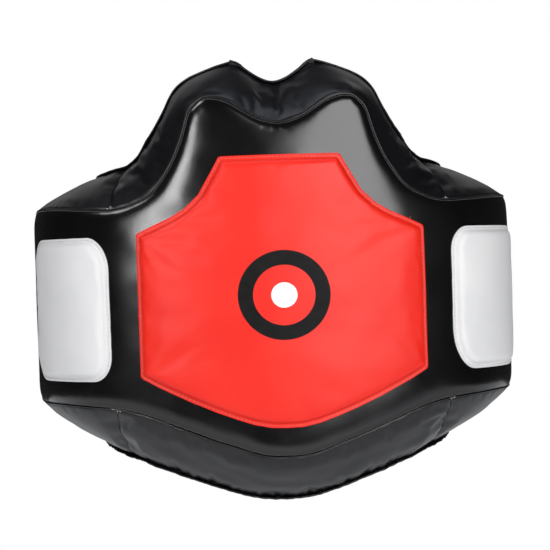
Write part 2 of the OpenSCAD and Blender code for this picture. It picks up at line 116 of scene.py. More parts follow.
ARC_R = np.array([BELLY_R, TURN_R, WING_R], float)
ARC_ANGLE = np.array([0, BELLY_A, BELLY_A + TURN_A])
ARC_GIRTH = np.cumsum([0, (BELLY_R + PAD_T) * BELLY_A, (TURN_R + PAD_T) * TURN_A])
ARC_CENTRE = np.cumsum([(0, BELLY_R)] + [
    (step * math.sin(a), -step * math.cos(a))
    for step, a in ((BELLY_R - TURN_R, BELLY_A), (TURN_R - WING_R, BELLY_A + TURN_A))], axis=0)


def place(girth, depth, z):
    """Points in space, in millimetres, from arrays of girth, depth and height."""
    girth, depth, z = np.broadcast_arrays(np.asarray(girth, float), depth, z)
    g = np.abs(girth)
    arc = (g > ARC_GIRTH[1]).astype(int) + (g > ARC_GIRTH[2])
    angle = ARC_ANGLE[arc] + (g - ARC_GIRTH[arc]) / (ARC_R[arc] + PAD_T)
    radius = ARC_R[arc] + depth
    x = ARC_CENTRE[arc, 0] + radius * np.sin(angle)
    y = ARC_CENTRE[arc, 1] - radius * np.cos(angle)
    return coords(np.where(girth < 0, -x, x), y, z)


def unit(v):
    return v / np.maximum(np.linalg.norm(v, axis=-1, keepdims=True), 1e-9)


def clamp(v):
    return np.clip(v, 0, 1)


def bell(v, width):
    return np.exp(-(v / width) ** 2)


def coords(*parts):
    """Numbers and arrays, stretched to one shape, as the last axis of one array."""
    return np.stack(np.broadcast_arrays(*parts), axis=-1)


def run_along(path):
    """Distance along a polyline at each of its points."""
    return np.concatenate([[0], np.cumsum(np.linalg.norm(np.diff(path, axis=0), axis=1))])


def along_run(at, run, rows):
    """The rows of a table, interpolated at distances along a run."""
    return np.stack([np.interp(at, run, column) for column in rows.T], axis=1)


def smooth_path(points, steps, before=None, after=None):
    """Catmull-Rom curve through the rows of points, with steps pieces to a span."""
    p = np.asarray(points, float)
    first = 2 * p[0] - p[1] if before is None else before
    last = 2 * p[-1] - p[-2] if after is None else after
    q = np.vstack([first, p, last])
    out = []
    for a, b, c, d in zip(q, q[1:], q[2:], q[3:]):
        for t in np.arange(steps) / steps:
            out.append(0.5 * (2 * b + (c - a) * t + (2 * a - 5 * b + 4 * c - d) * t * t
                              + (3 * b - a - 3 * c + d) * t ** 3))
    return np.array(out + [p[-1]])


def resample(points, spacing, closed=False):
    """Points an even distance apart along a polyline."""
    p = np.vstack([points, points[:1]]) if closed else np.asarray(points, float)
    run = run_along(p)
    count = max(2, int(round(run[-1] / spacing)))
    out = along_run(np.linspace(0, run[-1], count + 1), run, p)
    return out[:-1] if closed else out


def pad_edge(spacing):
    """The pad's edge as one closed loop of [face girth, face z, lining girth, lining z], clockwise
    seen from the front, from the wing's end on the -X side, and the loop's four gusset joins."""
    mirror = np.array([-1, 1, 1, -1, 1, 1])
    half = smooth_path(STATIONS, 8, before=STATIONS[1] * mirror)
    columns = np.vstack([half[:0:-1] * mirror, half])
    top = columns[:, [0, 1, 3, 4]]
    bottom = columns[::-1][:, [0, 2, 3, 5]]
    loop = resample(np.vstack([top, bottom]), spacing, closed=True)
    join_top = STATIONS[JOIN_STATION][[0, 1, 3, 4]]
    join_bottom = STATIONS[JOIN_STATION][[0, 2, 3, 5]]
    flip = np.array([-1, 1, -1, 1])
    joins = [join_top * flip, join_top, join_bottom, join_bottom * flip]
    return loop, [int(np.argmin(np.linalg.norm(loop - j, axis=1))) for j in joins]


EDGE, JOINS = pad_edge(2.4 * math.sqrt(2))


def outward(loop):
    """Unit normals that point out of a closed clockwise loop of 2D points."""
    way = np.roll(loop, -1, axis=0) - np.roll(loop, 1, axis=0)
    n = unit(coords(-way[:, 1], way[:, 0]))
    for _ in range(2):
        n = unit(np.roll(n, 1, axis=0) + n + np.roll(n, -1, axis=0))
    return n


FACE_OUT, LINING_OUT = outward(EDGE[:, :2]), outward(EDGE[:, 2:])


def edge_points(t, out, forward=0):
    """The whole edge, a fraction t of the way from lining to face, moved out by out mm and forward by
    a share of the thickness."""
    base = EDGE[:, 2:] * (1 - t) + EDGE[:, :2] * t
    p = base + out * unit(LINING_OUT * (1 - t) + FACE_OUT * t)
    return place(p[:, 0], (t + forward) * PAD_T, p[:, 1])


def edge_frame(t):
    """Points on the edge with unit vectors out of the pad and forward, away from the wearer."""
    p = edge_points(t, 0)
    return p, unit(edge_points(t, 1) - p), unit(edge_points(t, 0, 0.01) - p)


def ripple(points, size, seed):
    """Smooth noise from -1 to 1 at each point; size is in mm, one number or one per axis."""
    q = np.asarray(points) / np.asarray(size, float) + seed * 17.3
    return np.array([noise.noise(Vector(v)) for v in q.reshape(-1, 3)]).reshape(q.shape[:-1])


# ---- Meshes ----

def make_piece(name, points, faces, material, uv=None):
    """A mesh object from points in mm. uv has one pair per point, in mm."""
    mesh = bpy.data.meshes.new(name)
    mesh.from_pydata((np.asarray(points) * MM).tolist(), [], [list(map(int, f)) for f in faces])
    mesh.validate()
    mesh.update()
    if uv is not None:
        layer = mesh.uv_layers.new(name="UVMap")
        corner = np.array([loop.vertex_index for loop in mesh.loops])
        layer.data.foreach_set("uv", (np.asarray(uv)[corner] * MM).astype(np.float32).ravel())
    mesh.polygons.foreach_set("use_smooth", [True] * len(mesh.polygons))
    mesh.materials.append(material)
    obj = bpy.data.objects.new(name, mesh)
    bpy.context.scene.collection.objects.link(obj)
    return obj


def thicken(obj, thickness):
    """Gives a sheet its thickness, which grows against its normals."""
    mod = obj.modifiers.new("thickness", "SOLIDIFY")
    mod.thickness = thickness * MM
    mod.offset = -1
    mod.use_even_offset = False
    mod.use_quality_normals = True
    return obj


def settle(obj, pinned, pressure, slack, cap):
    """Cloth simulation of a sewn sheet held at its pinned points: it fills with pressure and its spare
    cloth, a share of its size, gathers. No point moves further than cap mm."""
    group = obj.vertex_groups.new(name="sewn")
    group.add([int(i) for i in np.flatnonzero(pinned)], 1.0, "REPLACE")
    cloth = obj.modifiers.new("cloth", "CLOTH")
    fabric = cloth.settings
    fabric.quality = 6
    fabric.mass = 0.25
    fabric.tension_stiffness = fabric.compression_stiffness = 25
    fabric.shear_stiffness = 12
    fabric.bending_stiffness = 1.5
    fabric.vertex_group_mass = "sewn"
    fabric.use_pressure = True
    fabric.uniform_pressure_force = pressure
    fabric.shrink_min = -slack
    fabric.effector_weights.gravity = 0
    cloth.collision_settings.use_collision = False
    cloth.collision_settings.use_self_collision = False
    scene = bpy.context.scene
    for number in range(1, CLOTH_FRAMES + 1):
        scene.frame_set(number)
    posed = obj.evaluated_get(bpy.context.evaluated_depsgraph_get()).data
    count = len(obj.data.vertices)
    before, after = np.empty(count * 3, np.float32), np.empty(count * 3, np.float32)
    obj.data.vertices.foreach_get("co", before)
    posed.vertices.foreach_get("co", after)
    move = (after - before).reshape(-1, 3)
    far = np.linalg.norm(move, axis=1, keepdims=True)
    move *= np.minimum(1, cap * MM / np.maximum(far, 1e-9))
    obj.modifiers.remove(cloth)
    obj.vertex_groups.remove(group)
    obj.data.vertices.foreach_set("co", (before + move.ravel()).astype(np.float32))
    obj.data.update()
    scene.frame_set(1)


def grid_faces(rows, columns, round_columns=False, round_rows=False):
    """Quads of a grid of rows x columns points, which may close on itself either way."""
    faces = []
    for i in range(rows if round_rows else rows - 1):
        for j in range(columns if round_columns else columns - 1):
            h, k = (i + 1) % rows, (j + 1) % columns
            faces.append((i * columns + j, i * columns + k, h * columns + k, h * columns + j))
    return faces


def tube_faces(rows, columns):
    """The sides and the two ends of a tube of rows rings."""
    ends = [tuple(range(columns))[::-1], tuple(range((rows - 1) * columns, rows * columns))]
    return grid_faces(rows, columns, round_columns=True) + ends


def distance_from(outline, spacing):
    """A function that gives how far each of its rows of (girth, z) is from a closed outline."""
    fine = resample(outline, spacing, closed=True)
    tree = kdtree.KDTree(len(fine))
    for i, p in enumerate(fine):
        tree.insert((p[0], p[1], 0), i)
    tree.balance()
    return lambda flat: np.array([tree.find((g, z, 0))[2] for g, z in flat])


def winds_left(outline):
    """Whether a closed outline of (girth, z) runs anticlockwise, seen from the front."""
    g, z = outline.T
    return np.sum(g * np.roll(z, -1) - np.roll(g, -1) * z) > 0


def fill_outline(outline, rings, step):
    """Triangles inside a closed outline of [girth, z]: rows of points at the given distances from the
    edge, and an even grid further in. Returns points, faces and each point's distance from the edge."""
    outline = resample(outline, 2.4, closed=True)
    distance = distance_from(outline, 0.6)
    normal = outward(outline)
    if winds_left(outline):
        outline, normal = outline[::-1], -normal[::-1]
    points = [outline]
    for r in rings:
        ring = outline - normal * r
        ring = ring[distance(ring) > 0.93 * r]
        points.append(ring[:: 1 if r < 8 else 2])
    lo, hi = outline.min(axis=0), outline.max(axis=0)
    grid = np.array([(x, z) for row, z in enumerate(np.arange(lo[1], hi[1], step * 0.87))
                     for x in np.arange(lo[0] + (row % 2) * step / 2, hi[0], step)])
    grid = grid[points_inside(grid, outline)]
    points.append(grid[distance(grid) > rings[-1] + 0.6 * step])
    everything = np.vstack(points)
    n = len(outline)
    verts, _, faces, *_ = geometry.delaunay_2d_cdt(
        [Vector(p) for p in everything], [(i, (i + 1) % n) for i in range(n)], [], 1, 1e-4)
    flat = np.array([(v.x, v.y) for v in verts])
    return flat, faces, distance(flat)


def points_inside(points, outline):
    """True for each point inside the closed outline."""
    inside = np.zeros(len(points), bool)
    for a, b in zip(outline, np.roll(outline, -1, axis=0)):
        crosses = (a[1] > points[:, 1]) != (b[1] > points[:, 1])
        dz = b[1] - a[1]
        if abs(dz) < 1e-12:
            continue
        x = a[0] + (points[:, 1] - a[1]) * (b[0] - a[0]) / dz
        inside ^= crosses & (points[:, 0] < x)
    return inside


def sweep(path, out, ahead, profile):
    """Points and faces of a closed profile of (out, ahead) pairs carried round a closed path. profile
    is one list for the whole path, or one for each of its points."""
    points = path[:, None] + profile[..., :1] * out[:, None] + profile[..., 1:] * ahead[:, None]
    return points.reshape(-1, 3), grid_faces(*points.shape[:2], round_columns=True, round_rows=True)


# ---- Materials ----

def new_material(name):
    mat = bpy.data.materials.new(name)
    mat.use_nodes = True
    tree = mat.node_tree
    return mat, tree, tree.nodes["Principled BSDF"]


def set_inputs(tree, made, inputs):
    """Sets a node's inputs; one given as a socket is linked."""
    for key, value in inputs.items():
        if isinstance(value, bpy.types.NodeSocket):
            tree.links.new(value, made.inputs[key])
        else:
            made.inputs[key].default_value = value


def node(tree, kind, inputs, **settings):
    made = tree.nodes.new(kind)
    for key, value in settings.items():
        setattr(made, key, value)
    set_inputs(tree, made, inputs)
    return made


def coordinates(tree, kind="Object"):
    return node(tree, "ShaderNodeTexCoord", {}).outputs[kind]


def mottle(tree, at, scale, detail, **more):
    """Noise from 0 to 1."""
    inputs = {"Vector": at, "Scale": scale, "Detail": detail, **more}
    return node(tree, "ShaderNodeTexNoise", inputs).outputs["Fac"]


def calculate(tree, operation, *values):
    return node(tree, "ShaderNodeMath", dict(enumerate(values)), operation=operation).outputs[0]


def ramp(tree, factor, low, high, start=0.3, end=0.7):
    """A colour ramp from low to high."""
    made = node(tree, "ShaderNodeValToRGB", {"Fac": factor})
    made.color_ramp.elements[0].position, made.color_ramp.elements[1].position = start, end
    made.color_ramp.elements[0].color = (*low, 1)
    made.color_ramp.elements[1].color = (*high, 1)
    return made.outputs["Color"]


def map_range(tree, value, start, end, low, high):
    """start..end mapped to low..high."""
    inputs = {"Value": value, "From Min": start, "From Max": end, "To Min": low, "To Max": high}
    return node(tree, "ShaderNodeMapRange", inputs).outputs["Result"]


def spread(tree, noise_value, low, high):
    """The usual range of noise, 0.25 to 0.75, mapped to low..high."""
    return map_range(tree, noise_value, 0.25, 0.75, low, high)


def bump(tree, height, distance, under=None):
    """Normals of a relief distance mm high, on top of the normals under it."""
    inputs = {"Height": height, "Distance": distance * MM, "Strength": 1}
    if under is not None:
        inputs["Normal"] = under
    return node(tree, "ShaderNodeBump", inputs).outputs["Normal"]


def leather(name, dark, light, gloss, depth=0.022, crease=0.05, shine=0.5, scuff=0.3):
    """Coated leather: pebble grain, faint creases, and gloss that varies from place to place."""
    mat, tree, shader = new_material(name)
    at = coordinates(tree)
    broad = mottle(tree, at, 14, 3)
    fine = mottle(tree, at, 900, 2)
    crinkle = mottle(tree, at, 60, 6, Roughness=0.6, Distortion=0.8)
    wear = mottle(tree, at, 35, 8, Roughness=0.7)
    cells = node(tree, "ShaderNodeTexVoronoi", {"Vector": at, "Scale": 1 / (GRAIN * MM)},
                 feature="SMOOTH_F1").outputs["Distance"]
    worn = calculate(tree, "MULTIPLY", spread(tree, wear, -0.05, 0.05), scuff)
    normal = bump(tree, crinkle, crease)
    normal = bump(tree, cells, depth, under=normal)
    normal = bump(tree, fine, depth * 0.4, under=normal)
    set_inputs(tree, shader, {
        "Base Color": ramp(tree, broad, dark, light), "Normal": normal,
        "Roughness": calculate(tree, "ADD", spread(tree, broad, *gloss), worn),
        "Specular IOR Level": shine})
    return mat


def weave(name, dark, light, pitch_across, pitch_along, depth, wobble=1.4):
    """Woven cloth or webbing, from the piece's UV map in metres: ribs that zigzag across the width. Its
    colour follows the ribs' relief, with painted shade in the hollows between ribs and a painted highlight
    on their crests.
    """
    mat, tree, shader = new_material(name)
    uv = coordinates(tree, "UV")
    parts = node(tree, "ShaderNodeSeparateXYZ", {"Vector": uv}).outputs
    turn = 2 * math.pi / MM
    across = calculate(tree, "MULTIPLY", parts["X"], turn / pitch_across)
    along = calculate(tree, "MULTIPLY", parts["Y"], turn / pitch_along)
    phase = calculate(tree, "MULTIPLY_ADD", calculate(tree, "SINE", across), wobble, along)
    rib = calculate(tree, "MULTIPLY_ADD", calculate(tree, "SINE", phase), 0.5, 0.5)
    fuzz = mottle(tree, uv, 2500, 3)
    height = calculate(tree, "MULTIPLY_ADD", fuzz, 0.35, rib)
    # painted shade and highlight: base colour from the rib height, dark in the hollows, light on the
    # crests
    set_inputs(tree, shader, {
        "Base Color": ramp(tree, height, dark, light, 0.1, 1.0), "Normal": bump(tree, height, depth),
        "Roughness": spread(tree, fuzz, 0.67, 0.83), "Sheen Weight": 0.15, "Sheen Roughness": 0.5})
    return mat


def plastic(name, colour, gloss, shine):
    """Moulded plastic with a fine spark-eroded texture."""
    mat, tree, shader = new_material(name)
    at = coordinates(tree)
    broad = mottle(tree, at, 120, 4)
    lighter = [c * 1.5 + 0.004 for c in colour]
    set_inputs(tree, shader, {
        "Base Color": ramp(tree, broad, colour, lighter), "Roughness": spread(tree, broad, *gloss),
        "Normal": bump(tree, mottle(tree, at, 1800, 2), 0.012), "Specular IOR Level": shine})
    return mat


def foam(name, dark, light, cell):
    """Cellular foam, with painted shade: its colour is darker in the cells' hollows and lighter on their
    walls.
    """
    mat, tree, shader = new_material(name)
    inputs = {"Vector": coordinates(tree), "Scale": 1 / (cell * MM)}
    cells = node(tree, "ShaderNodeTexVoronoi", inputs).outputs["Distance"]
    # painted shade: colour from the cell relief, dark in the hollows, light on the walls
    set_inputs(tree, shader, {"Base Color": ramp(tree, cells, dark, light, 0.0, 0.6),
                              "Normal": bump(tree, cells, 0.3), "Roughness": 0.9})
    return mat


def thread(name, colour):
    """Bonded sewing thread, with the faint rope pattern of its ply."""
    mat, tree, shader = new_material(name)
    ply = mottle(tree, coordinates(tree), 3500, 2)
    set_inputs(tree, shader, {"Base Color": ramp(tree, ply, [c * 0.7 for c in colour], colour),
                              "Normal": bump(tree, ply, 0.06), "Roughness": 0.55})
    return mat


BLACK = leather("black_leather", (0.0020, 0.0020, 0.0023), (0.0042, 0.0042, 0.0047), (0.155, 0.215),
                depth=0.028, shine=0.62, scuff=0.5)
GUSSET_BLACK = leather("gusset_leather", (0.0026, 0.0026, 0.0036), (0.0055, 0.0055, 0.0076), (0.30, 0.40),
                       crease=0.07, shine=0.48)
RED = leather("red_leather", (0.86, 0.014, 0.005), (0.93, 0.024, 0.010), (0.40, 0.48),
              crease=0.07, shine=0.4)
WHITE = leather("white_leather", (0.78, 0.78, 0.79), (0.84, 0.835, 0.84), (0.42, 0.52), crease=0.07)
LINING = weave("lining_cloth", (0.010, 0.010, 0.012), (0.028, 0.028, 0.032), 1.1, 0.9, 0.12, wobble=0.8)
WEBBING = weave("webbing", (0.008, 0.008, 0.008), (0.05, 0.05, 0.051), 5.4, 1.8, 0.4)
ELASTIC = weave("elastic", (0.005, 0.005, 0.005), (0.03, 0.03, 0.03), 1.2, 2.0, 0.2, wobble=0.4)
BUCKLE = plastic("buckle_plastic", (0.009, 0.009, 0.010), (0.28, 0.38), shine=0.55)
PRINT_BLACK = plastic("print_black", (0.004, 0.004, 0.0045), (0.5, 0.6), shine=0.15)
PRINT_WHITE = plastic("print_white", (0.8, 0.8, 0.8), (0.4, 0.5), shine=0.3)
RED_THREAD = thread("red_thread", (0.85, 0.22, 0.16))
WHITE_THREAD = thread("white_thread", (0.72, 0.72, 0.72))
SEAM_THREAD = thread("seam_thread", (0.22, 0.22, 0.21))
BLACK_THREAD = thread("black_thread", (0.05, 0.05, 0.055))


def finish_piece(obj, *replaced, slot="black_leather", body="pad"):
    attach(obj, body)
    if replaced:
        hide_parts(*replaced)


# ---- Stitching ----

def threads(name, strands, material):
    """Round threads; a strand is its five points, two directions across it and its radii."""
    around = (np.arange(6) * math.pi / 3)[:, None]
    points, faces = [], []
    for line, side, up, radii in strands:
        ring = np.cos(around) * side[:, None] + np.sin(around) * up[:, None]
        faces += [tuple(len(points) * 30 + k for k in face) for face in tube_faces(5, 6)]
        points.append((line[:, None] + ring * radii[:, None, None]).reshape(-1, 3))
    return make_piece(name, np.vstack(points), faces, material)


def stitch_line(name, path, normals, material, length, pitch, radius):
    """A row of thread stitches lying on a path of points in mm."""
    run = run_along(path)
    count = int(run[-1] / pitch)
    pitch = run[-1] / count
    rng = np.random.default_rng(7)
    rise = np.array([-0.4, 0.45, 0.8, 0.45, -0.4]) * radius
    girth = np.array([0.55, 0.95, 1.0, 0.95, 0.55]) * radius
    strands = []
    for i in range(count):
        at = i * pitch + (pitch - length) / 2 + np.linspace(0, 1, 5) * length
        p, n = along_run(at, run, path), unit(along_run(at, run, normals))
        side = unit(np.cross(n, unit(p[-1] - p[0])))
        lean = rng.normal(0, 0.12)
        line = p + n * rise[:, None] + side * np.linspace(-lean, lean, 5)[:, None]
        strands.append((line, side, n, girth))
    return threads(name, strands, material)


def thread_ends(name, roots, normals, ways, material, length, radius):
    """Short cut ends of thread that stand out of a seam."""
    rng = np.random.default_rng(11)
    strands = []
    for root, normal, way in zip(roots, normals, ways):
        lean = unit(way * rng.uniform(-1, 1) + normal * 0.5 + np.cross(way, normal) * rng.uniform(-1, 1))
        curl = rng.normal(0, 0.5, 3)
        along = np.linspace(0, 1, 5)[:, None] * length * rng.uniform(0.6, 1.3)
        side = unit(np.cross(lean, normal + 0.01))
        strands.append((root + lean * along + curl * (along / length) ** 2, side[None],
                        np.cross(lean, side)[None], np.full(5, radius)))
    return threads(name, strands, material)


# ---- Padded shell ----

def face_depth(girth, z, from_edge):
    """Depth of the strike face's leather: rolled down to the seam and softly uneven over the foam."""
    crown = (3.4 * (1 - np.exp(-from_edge / 5.5)) + 0.6 * (1 - np.exp(-from_edge / 40))
             - 1.4 * np.exp(-from_edge / 2.5))
    at = coords(girth, z, 0)
    uneven = 0.9 * ripple(at, 75, 1) + 0.35 * ripple(at, 28, 2)
    pucker = 0.3 * ripple(at, 6, 9) * np.exp(-from_edge / 6) * clamp(from_edge / 1.5)
    depth = PAD_T + crown + uneven * clamp(from_edge / 25) + pucker
    for middle, deep, lean in ((-15, 0.5, 0.25), (-3, 0.9, -0.1), (7, 0.7, -0.35)):
        off = girth - middle - lean * from_edge
        depth = depth - deep * bell(off, 1.7) * bell(from_edge, 13) * (z > 100)
    return depth


from_seam = distance_from(EDGE[:, :2], 1.0)


def over_face(flat, height):
    """Points a height above the strike face at rows of (girth, z), and unit vectors out of it."""
    girth, z = flat.T
    depth = face_depth(girth, z, from_seam(flat)) + height
    points = place(girth, depth, z)
    return points, unit(place(girth, depth + 1, z) - points)


def build_face():
    flat, faces, away = fill_outline(EDGE[:, :2], (1.2, 2.6, 4.2, 6.2, 8.8, 12.5, 17), 6)
    points = place(flat[:, 0], face_depth(*flat.T, away), flat[:, 1])
    obj = thicken(make_piece("front_cover", points, faces, BLACK, uv=flat), SKIN_T)
    finish_piece(obj, "front_cover")


def build_lining():
    flat, faces, away = fill_outline(EDGE[:, 2:], (1.2, 2.6, 4.2, 6.2, 8.8), 8)
    depth = 0.15 - 0.25 * (1 - np.exp(-away / 8)) + 0.2 * ripple(coords(*flat.T, 0), 60, 5)
    points = place(flat[:, 0], depth, flat[:, 1])
    obj = make_piece("lining", points, [f[::-1] for f in faces], LINING, uv=flat)
    thicken(obj, SKIN_T)
    finish_piece(obj, "lining", slot="lining_cloth")


def build_gussets():
    """The four gusset pieces: foam-filled, pulled in at both seams, and gathered at the binding."""
    across = 22
    t = 1 - np.linspace(0, 1, across)
    base = np.stack([edge_points(v, 0) for v in t], axis=1)
    n = len(EDGE)
    along = np.roll(base, -1, axis=0) - np.roll(base, 1, axis=0)
    toward = np.gradient(base, axis=1)
    normal = unit(np.cross(toward, along))
    out = unit(edge_points(0.5, 1) - edge_points(0.5, 0))
    if np.sum(normal[:, across // 2] * out) < 0:
        normal = -normal
    run = run_along(edge_points(0.5, 0))
    span = np.linalg.norm(base[:, 0] - base[:, -1], axis=1)
    grid_s, grid_t = np.broadcast_arrays(run[:, None], t)
    wing = clamp((np.abs(EDGE[:, 2]) - 190) / 60)[:, None] * (EDGE[:, 3] > 0)[:, None]
    belly = clamp(4 * grid_t * (1 - grid_t))
    pillow = (3.6 - 1.6 * wing) * belly ** 0.6
    low = clamp((-base[..., 2] - 60) / 120)
    at = coords(grid_s, grid_t * 80, 0)
    folds = (1.1 + 1.1 * low) * ripple(at, (70, 34, 1), 3)
    folds += (0.35 + 0.5 * low) * ripple(at, (30, 16, 1), 4)
    pucker_hem = (0.5 + 0.9 * low) * np.exp(-grid_t / 0.13) * ripple(at, (5.5, 60, 1), 6)
    pucker_seam = 0.6 * np.exp(-(1 - grid_t) / 0.10) * ripple(at, (8, 60, 1), 7)
    middle = belly ** 0.5
    height = pillow + folds * middle + pucker_hem + pucker_seam
    for j in JOINS:
        away = np.abs((grid_s - run[j] + run[-1] / 2) % run[-1] - run[-1] / 2)
        height = height - 2.2 * bell(away, 3.0) * middle
    neck = np.argmin(np.abs(EDGE[:, 0]) + 1e3 * (EDGE[:, 1] < 0))
    away = grid_s - run[neck]
    height = height - 1.3 * bell(away - 3 * (1 - grid_t), 4.5) * middle
    height += 0.7 * bell(away - 12, 6) * middle
    points = base + normal * height[..., None]
    uv = coords(grid_s, grid_t * span[:, None])
    names = ("gusset_top", "gusset_right", "gusset_bottom", "gusset_left")
    for name, a, b in zip(names, JOINS, JOINS[1:] + [JOINS[0] + n]):
        pick = np.arange(a, b + 1) % n
        part, part_uv = points[pick].reshape(-1, 3), uv[pick].reshape(-1, 2)
        faces = grid_faces(len(pick), across)
        obj = make_piece(name, part, [f[::-1] for f in faces], GUSSET_BLACK, uv=part_uv)
        pinned = np.zeros((len(pick), across), bool)
        pinned[:, [0, -1]] = True
        pinned[[0, -1]] = True
        settle(obj, pinned.ravel(), 4.0, 0.018 if name == "gusset_bottom" else 0.005, 3.5)
        thicken(obj, SKIN_T)
        finish_piece(obj, name)


def build_piping():
    a = np.arange(10) * 2 * math.pi / 10
    profile = coords(0.1 + 0.85 * np.cos(a), -0.1 + 0.85 * np.sin(a))
    points, faces = sweep(*edge_frame(1), profile)
    obj = make_piece("face_piping", points, faces, BLACK)
    finish_piece(obj, "face_piping")


def build_binding():
    """Tape folded over the lining's edge, ruched most along the bottom."""
    path, out, ahead = edge_frame(0)
    outline = np.array([
        (0.0, 7.6), (1.2, 7.2), (2.0, 5.2), (2.3, 2.4), (2.1, -0.4), (1.3, -1.7),
        (-0.8, -2.1), (-4.6, -1.9), (-6.2, -1.1), (-5.4, -0.3), (-1.5, 0.2), (-0.2, 2.0),
    ])
    run = run_along(path)
    low = clamp((-path[:, 2] - 60) / 120)
    profile = np.repeat(outline[None], len(path), axis=0)
    for k in range(len(outline)):
        swell = (0.25 + 0.75 * low) * ripple(coords(run, k * 1.5, 0), (4.5, 9, 1), 8)
        profile[:, k] *= (1 + 0.22 * swell)[:, None]
    points, faces = sweep(path, out, ahead, profile)
    obj = make_piece("edge_binding", points, faces, GUSSET_BLACK)
    finish_piece(obj, "edge_binding")


# ---- Panels ----

def target_outline():
    right = TARGET_TOP + TARGET_BOTTOM
    left = [(-g, z) for g, z in right[::-1]]
    return np.array(right + left[1:-1], float)


def side_outline(sign):
    """Rounded rectangle, clockwise from its inner top corner."""
    g0, g1 = SIDE_G, SIDE_G + SIDE_W
    z1, z0 = SIDE_TOP, SIDE_TOP - SIDE_H
    points = []
    low, high = ((30, 42), (22, 26)) if sign > 0 else ((22, 26), (27, 36))
    for cx, cz, start, (rg, rz) in ((g1, z1, 90, (44, 26)), (g1, z0, 0, (46, 32)),
                                    (g0, z0, -90, low), (g0, z1, -180, high)):
        centre = (cx + (-rg if cx == g1 else rg), cz + (-rz if cz == z1 else rz))
        for a in np.radians(start - np.linspace(0, 90, 12)):
            points.append((centre[0] + rg * math.cos(a), centre[1] + rz * math.sin(a)))
    return np.array(points) * (sign, 1)


def panel_height(flat, away, seed):
    """Height of a panel's leather above the face: flat sewn border, then a soft bulge over foam. The
    side panels' foam thins out towards their outer ends."""
    x = clamp((away - PANEL_BORDER) / 7.5)
    shoulder = np.sqrt(1 - (1 - x) ** 2) * (away > PANEL_BORDER)
    crown = 1 - np.exp(-np.clip(away - PANEL_BORDER, 0, None) / 30)
    thin = 1 - 0.7 * clamp((np.abs(flat[:, 0]) - 235) / 85)
    shoulder, crown = shoulder * thin, crown * thin
    stitch = -0.5 * (bell(away - PANEL_BORDER / 2, 0.8) + bell(away - PANEL_BORDER, 0.7))
    at = coords(*flat.T, 0)
    pucker = 0.5 * ripple(at, 7, seed) * np.exp(-np.abs(away - PANEL_BORDER) / 5) * (away > 1)
    wrinkle = (0.5 * ripple(at, (70, 35, 1), seed + 1) + 0.3 * ripple(at, 22, seed + 2)) * x
    return SKIN_T + stitch + PANEL_RISE * (0.82 * shoulder + 0.18 * crown) + pucker + wrinkle


def build_panel(name, node_name, outline, material, thread_material, slot, seed):
    rings = (1.1, 2.25, 3.4, 4.5, 5.2, 6.2, 7.6, 9.5, 12, 15.5)
    flat, faces, away = fill_outline(outline, rings, 5)
    points, _ = over_face(flat, panel_height(flat, away, seed))
    obj = make_piece(name, points, faces, material, uv=flat)
    settle(obj, away < PANEL_BORDER + 0.8, 3.0, 0.002, 1.3)
    thicken(obj, SKIN_T)
    finish_piece(obj, f"{node_name}_cover", f"{node_name}_foam", slot=slot)
    loop = resample(outline, 1.5, closed=True)
    normal = outward(loop) * (-1 if winds_left(loop) else 1)
    loop = loop - normal * (PANEL_BORDER / 2)
    loop = np.vstack([loop, loop[:1]])
    line = stitch_line(f"{name}_stitching", *over_face(loop, SKIN_T - 0.35), thread_material,
                       3.4, 4.4, 0.36)
    finish_piece(line, slot=slot)
    return obj


def build_print(panel):
    """The plain aiming mark on the target: a black ring round a white spot, in printing ink."""
    skin = BVHTree.FromPolygons([v.co for v in panel.data.vertices],
                                [p.vertices for p in panel.data.polygons])
    centre_z = -18
    for name, inner, outer, material in (("print_ring", 31, 46, PRINT_BLACK),
                                         ("print_spot", 0, 13, PRINT_WHITE)):
        rings, around = 6, 120
        r = np.linspace(inner, outer, rings)[:, None]
        a = np.arange(around) * 2 * math.pi / around
        g, z = (r * np.cos(a)).ravel(), (r * np.sin(a)).ravel() + centre_z
        start, inside = place(g, PAD_T + 40, z) * MM, place(g, PAD_T, z) * MM
        hits = [skin.ray_cast(Vector(a), Vector(b - a))[0] for a, b in zip(start, inside)]
        points = np.array([tuple(h) for h in hits]) / MM + 0.12 * unit(start - inside)
        faces = grid_faces(rings, around, round_columns=True)
        obj = thicken(make_piece(name, points, faces, material, uv=coords(g, z)), 0.1)
        split = obj.modifiers.new("crisp_edge", "EDGE_SPLIT")
        split.split_angle = math.radians(45)
        finish_piece(obj, slot="red_leather")


def build_seam_threads():
    """Fine topstitching beside the face seam, and cut thread ends at the joins and the target's edge."""
    inset = EDGE[:, :2] - FACE_OUT * 1.7
    inset = np.vstack([inset, inset[:1]])
    line = stitch_line("face_seam_stitching", *over_face(inset, 0.05), SEAM_THREAD, 1.9, 2.7, 0.24)
    finish_piece(line)
    edge, out, ahead = edge_frame(1)
    roots, normals, ways = [], [], []
    for j in JOINS:
        for step in (-1, 0, 0, 1):
            roots.append(edge[(j + step) % len(edge)] + out[j] * 0.4 + ahead[j] * 0.4)
            normals.append(unit(ahead[j] + out[j]))
            ways.append(unit(edge[(j + 1) % len(edge)] - edge[j]))
    ends = thread_ends("join_thread_ends", roots, normals, ways, WHITE_THREAD, 2.6, 0.22)
    finish_piece(ends)
    roots, normals = over_face(resample(target_outline(), 1.0, closed=True), SKIN_T * 0.6)
    ways = unit(np.roll(roots, -1, axis=0) - roots)
    k = (np.array([0.05, 0.17, 0.36, 0.47, 0.55, 0.6, 0.66, 0.73]) * len(roots)).astype(int)
    ends = thread_ends("target_thread_ends", roots[k], normals[k], ways[k], RED_THREAD, 2.4, 0.2)
    finish_piece(ends, slot="red_leather")


